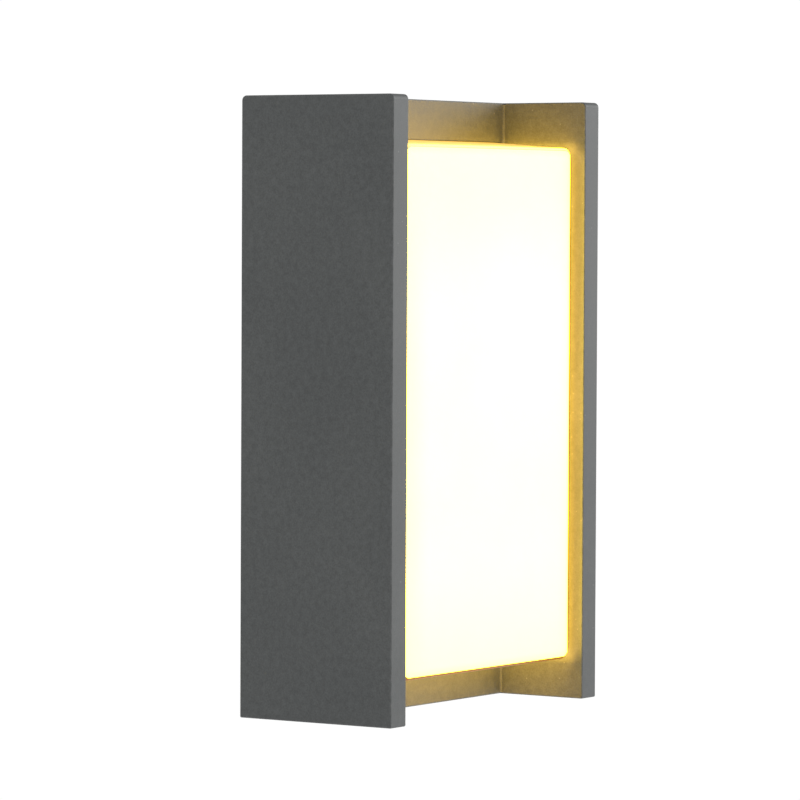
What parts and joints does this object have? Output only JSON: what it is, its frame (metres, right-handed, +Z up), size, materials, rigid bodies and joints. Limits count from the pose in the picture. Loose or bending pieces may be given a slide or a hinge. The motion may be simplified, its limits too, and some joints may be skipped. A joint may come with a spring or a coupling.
{
  "type": "outdoor wall lantern",
  "caption": "Upright outdoor wall lantern: deep side panels and a set-back web round a glowing opal box, on a wall bracket.",
  "frame": {"origin": "centre of the wall bracket's back face, in the plane of the wall, halfway up the lantern", "axes": "+Z up, +Y into the wall, +X to the right for someone who faces the lantern"},
  "size_m": [0.15, 0.07, 0.24],
  "materials": {
    "powder_coat": "fine-texture anthracite powder coat, matt",
    "opal": "opal plastic, lit warm white from inside",
    "silicone": "soft translucent silicone",
    "stainless": "plain stainless",
    "zinc_steel": "bright zinc plating",
    "board_white": "white solder mask",
    "reflector_white": "diffuse white film",
    "black_rubber": "moulded rubber",
    "white_plastic": "moulded, lightly textured",
    "board_green": "solder mask",
    "grey_plastic": "moulded polyamide",
    "tinned_copper": "dull tin over copper",
    "orange_plastic": "moulded polyamide",
    "brown_wire": "silicone insulation",
    "blue_wire": "silicone insulation",
    "earth_wire_green": "green insulation with a yellow stripe",
    "red_wire": "silicone insulation",
    "black_wire": "silicone insulation",
    "foam": "closed-cell foam"
  },
  "bodies": {
    "lantern": {"left_side_panel": "powder_coat", "right_side_panel": "powder_coat", "left_panel_screw_1": "zinc_steel", "left_panel_screw_2": "zinc_steel", "left_panel_screw_3": "zinc_steel", "right_panel_screw_1": "zinc_steel", "right_panel_screw_2": "zinc_steel", "right_panel_screw_3": "zinc_steel", "centre_housing": "powder_coat", "diffuser": "opal", "diffuser_gasket": "silicone", "diffuser_screw_1": "stainless", "diffuser_screw_2": "stainless", "diffuser_screw_3": "stainless", "diffuser_screw_4": "stainless", "led_board": "board_white", "reflector_sheet": "reflector_white", "led_board_screw_1": "zinc_steel", "led_board_screw_2": "zinc_steel", "led_board_screw_3": "zinc_steel", "led_board_screw_4": "zinc_steel", "led_wire_bush": "black_rubber", "driver_case": "white_plastic", "driver_cover": "white_plastic", "driver_board": "board_green", "driver_screw_1": "zinc_steel", "driver_screw_2": "zinc_steel", "terminal_block": "grey_plastic", "earth_contact": "tinned_copper", "neutral_contact": "tinned_copper", "line_contact": "tinned_copper", "terminal_screw_1": "zinc_steel", "terminal_screw_2": "zinc_steel", "earth_lug": "tinned_copper", "earth_washer": "stainless", "earth_screw": "zinc_steel", "line_wire": "brown_wire", "neutral_wire": "blue_wire", "earth_wire": "earth_wire_green", "led_plus_wire": "red_wire", "led_minus_wire": "black_wire", "wall_bracket": "zinc_steel", "top_fixing_screw": "stainless", "bottom_fixing_screw": "stainless", "wall_gasket": "foam"},
    "earth_button": {"earth_release_button": "orange_plastic"},
    "neutral_button": {"neutral_release_button": "orange_plastic"},
    "line_button": {"line_release_button": "orange_plastic"}
  },
  "joints": [
    {"name": "earth_button_press", "type": "slide", "parent": "lantern", "child": "earth_button", "axis": [0, -1, 0], "range_m": [0, 0.0015], "stiffness_N_per_m": 1500},
    {"name": "neutral_button_press", "type": "slide", "parent": "lantern", "child": "neutral_button", "axis": [0, -1, 0], "range_m": [0, 0.0015], "stiffness_N_per_m": 1500},
    {"name": "line_button_press", "type": "slide", "parent": "lantern", "child": "line_button", "axis": [0, -1, 0], "range_m": [0, 0.0015], "stiffness_N_per_m": 1500}
  ]
}
